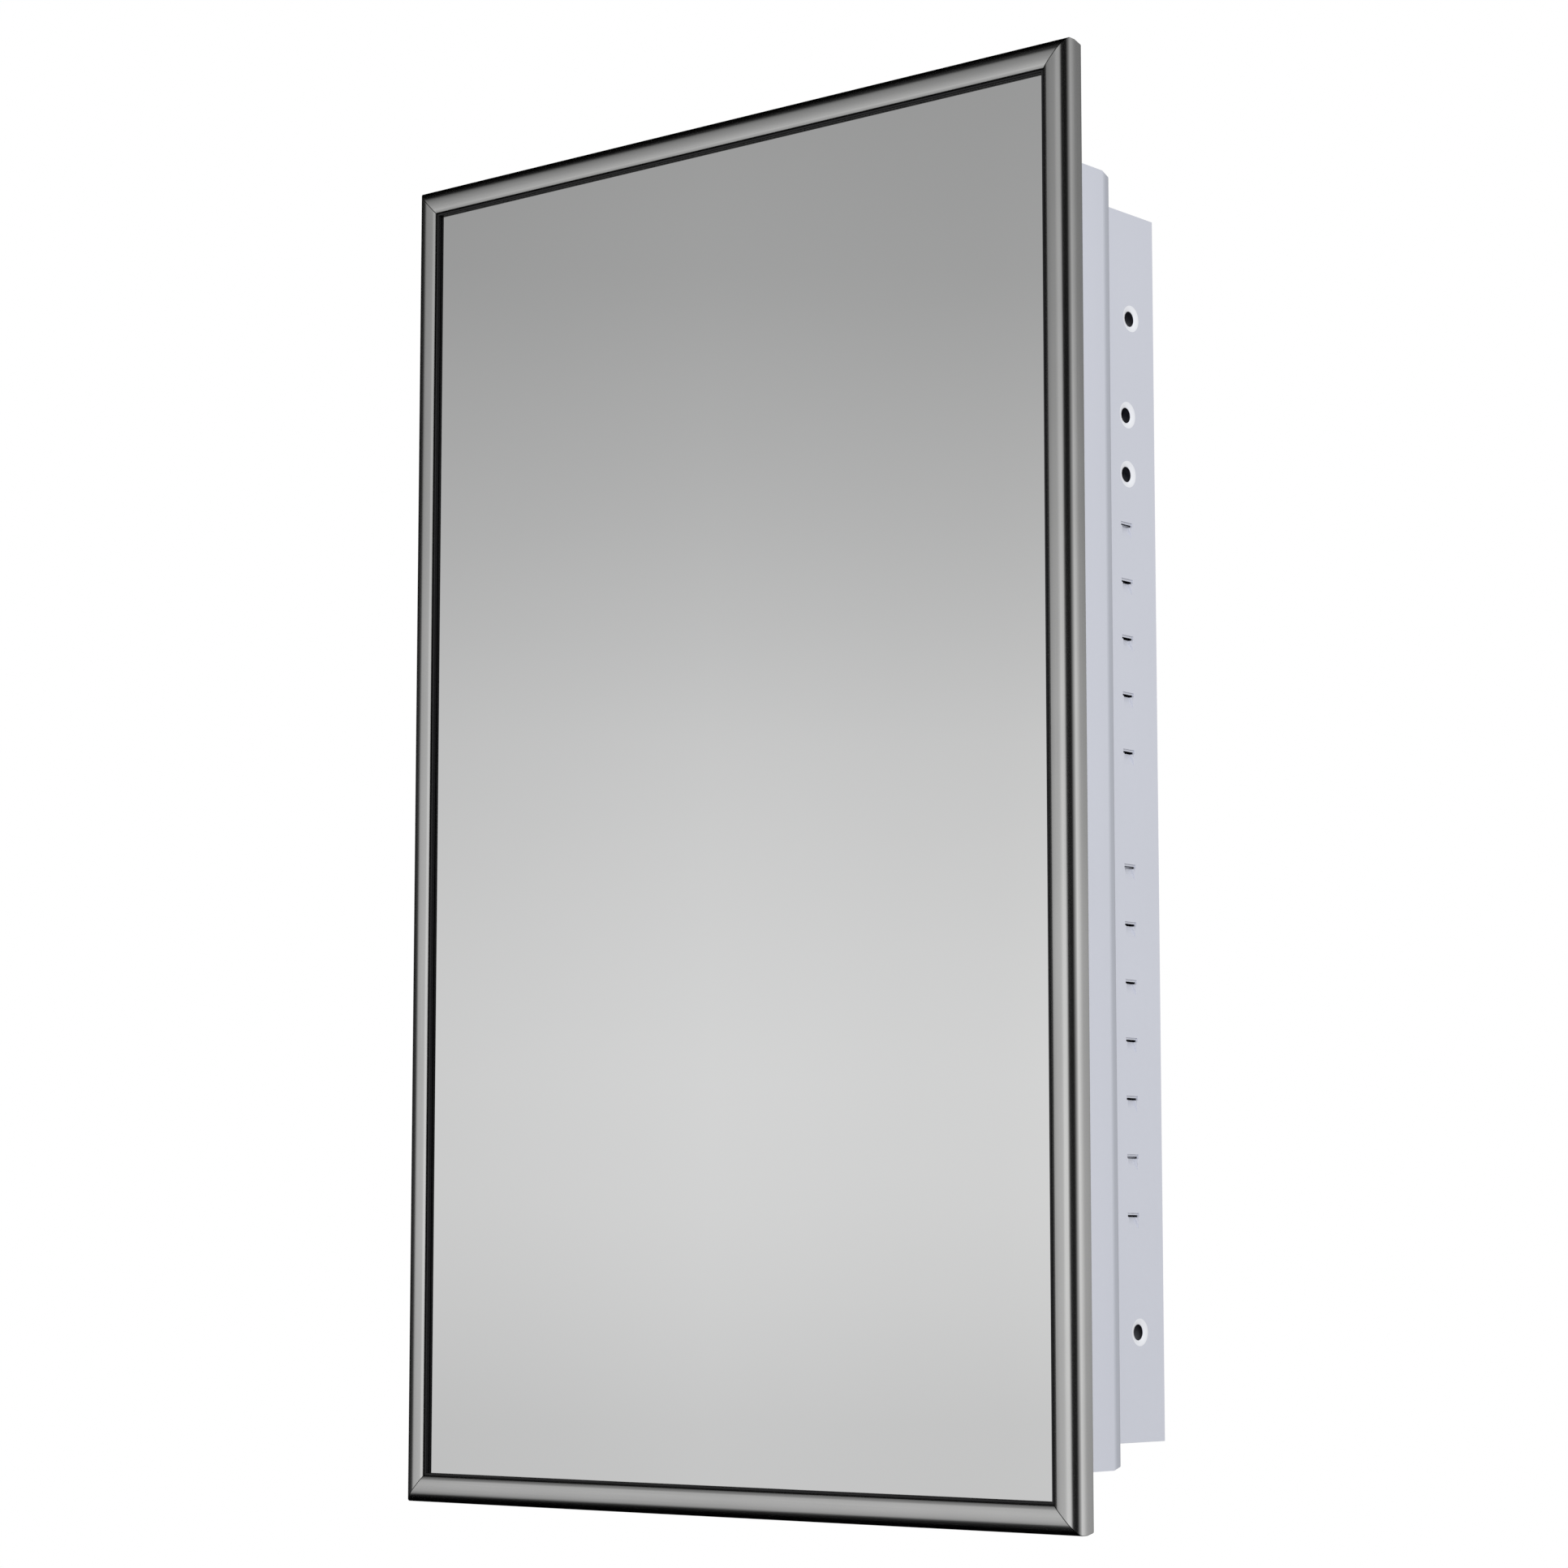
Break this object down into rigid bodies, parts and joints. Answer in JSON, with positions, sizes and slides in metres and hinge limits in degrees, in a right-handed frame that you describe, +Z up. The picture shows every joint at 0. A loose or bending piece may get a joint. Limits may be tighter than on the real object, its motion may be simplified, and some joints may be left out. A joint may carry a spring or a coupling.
{
  "type": "medicine cabinet with mirror",
  "caption": "Semi-recessed steel medicine cabinet: mitred stainless framed mirror door on a full-length hinge, projecting collar, wall box with lanced shelf rests and shelves.",
  "frame": {"origin": "centre of the wall opening, in the plane of the wall's face, which the collar's rear rim sits on", "axes": "+X to the right as seen from the room, +Y into the wall, +Z up; the mirror faces -Y"},
  "size_m": [0.4064, 0.1301, 0.6604],
  "materials": {
    "stainless": "satin brushed stainless steel",
    "mirror": "silvered plate glass",
    "enamel": "baked white enamel",
    "zinc": "bright zinc plate",
    "backing": "grey fibre board",
    "catch_plastic": "moulded, off-white",
    "ferrite": "sintered magnet",
    "rubber": "matte grey",
    "vinyl": "black vinyl glazing bead"
  },
  "bodies": {
    "cabinet": {"side_right": "enamel", "side_left": "enamel", "top_panel": "enamel", "bottom_panel": "enamel", "back_panel": "enamel", "collar": "enamel", "hinge_leaf_cabinet": "stainless", "hinge_pin": "stainless", "cabinet_rivet_1": "zinc", "cabinet_rivet_2": "zinc", "cabinet_rivet_3": "zinc", "cabinet_rivet_4": "zinc", "cabinet_rivet_5": "zinc", "cabinet_rivet_6": "zinc", "catch_housing": "catch_plastic", "catch_magnet": "ferrite", "catch_pole_left": "zinc", "catch_pole_right": "zinc", "catch_screw_1": "zinc", "catch_screw_2": "zinc", "bumper_top": "rubber", "bumper_bottom": "rubber"},
    "door": {"mirror_glass": "mirror", "glazing_bead": "vinyl", "backing_board": "backing", "door_back_pan": "enamel", "frame_left": "stainless", "frame_top": "stainless", "frame_right": "stainless", "frame_bottom": "stainless", "corner_key_top_left": "zinc", "corner_key_top_right": "zinc", "corner_key_bottom_left": "zinc", "corner_key_bottom_right": "zinc", "corner_screw_top_left_1": "zinc", "corner_screw_top_left_2": "zinc", "corner_screw_top_right_1": "zinc", "corner_screw_top_right_2": "zinc", "corner_screw_bottom_left_1": "zinc", "corner_screw_bottom_left_2": "zinc", "corner_screw_bottom_right_1": "zinc", "corner_screw_bottom_right_2": "zinc", "hinge_leaf_door": "stainless", "door_rivet_1": "zinc", "door_rivet_2": "zinc", "door_rivet_3": "zinc", "door_rivet_4": "zinc", "door_rivet_5": "zinc", "door_rivet_6": "zinc", "strike_plate": "zinc", "strike_rivet_1": "zinc", "strike_rivet_2": "zinc"},
    "shelf_upper": {"shelf_upper": "enamel"},
    "shelf_middle": {"shelf_middle": "enamel"},
    "shelf_lower": {"shelf_lower": "enamel"}
  },
  "joints": [
    {"name": "door_hinge", "type": "hinge", "parent": "cabinet", "child": "door", "pos_m": [-0.1757, -0.064, 0], "axis": [0, 0, -1], "range_deg": [0, 100]},
    {"name": "shelf_upper_lift", "type": "slide", "parent": "cabinet", "child": "shelf_upper", "axis": [0, 0, 1], "range_m": [0, 0.014]},
    {"name": "shelf_middle_lift", "type": "slide", "parent": "cabinet", "child": "shelf_middle", "axis": [0, 0, 1], "range_m": [0, 0.014]},
    {"name": "shelf_lower_lift", "type": "slide", "parent": "cabinet", "child": "shelf_lower", "axis": [0, 0, 1], "range_m": [0, 0.014]}
  ]
}
